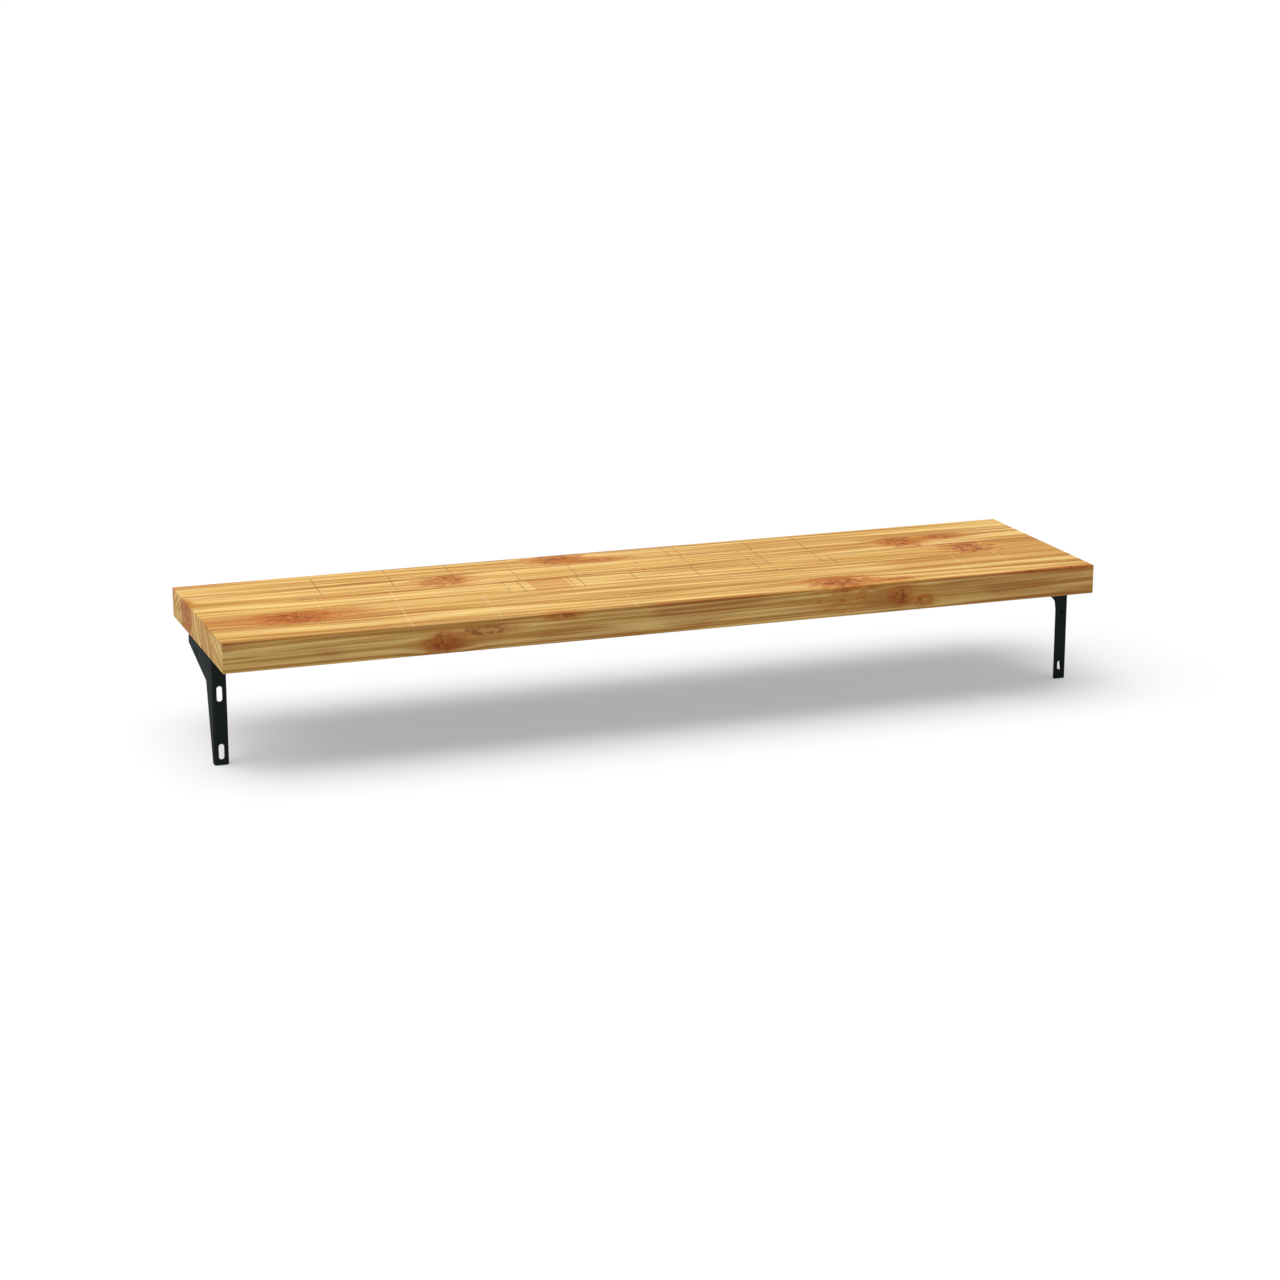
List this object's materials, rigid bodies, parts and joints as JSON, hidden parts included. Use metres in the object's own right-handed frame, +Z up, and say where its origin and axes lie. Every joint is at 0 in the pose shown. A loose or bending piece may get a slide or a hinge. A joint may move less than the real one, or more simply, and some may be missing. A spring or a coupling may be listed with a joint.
{
  "type": "wall shelf",
  "caption": "Thick edge-glued softwood wall shelf on slim L-shaped brackets of folded steel with tapering webs.",
  "frame": {"origin": "on the board's top surface, at mid-length, in the plane of the brackets' wall faces", "axes": "+X along the board to the right as seen from the wall's side, +Y away from the wall under the board, +Z up"},
  "size_m": [1.19, 0.3, 0.176],
  "materials": {
    "wood": "planed and oiled softwood",
    "bracket_coating": "satin charcoal powder coat",
    "screw_zinc": "zinc plated"
  },
  "bodies": {
    "root": {"stave_1": "wood", "stave_2": "wood", "stave_3": "wood", "stave_4": "wood", "stave_5": "wood", "left_bracket": "bracket_coating", "right_bracket": "bracket_coating", "left_wall_screw": "screw_zinc", "left_front_screw": "screw_zinc", "right_wall_screw": "screw_zinc", "right_front_screw": "screw_zinc"}
  },
  "joints": []
}
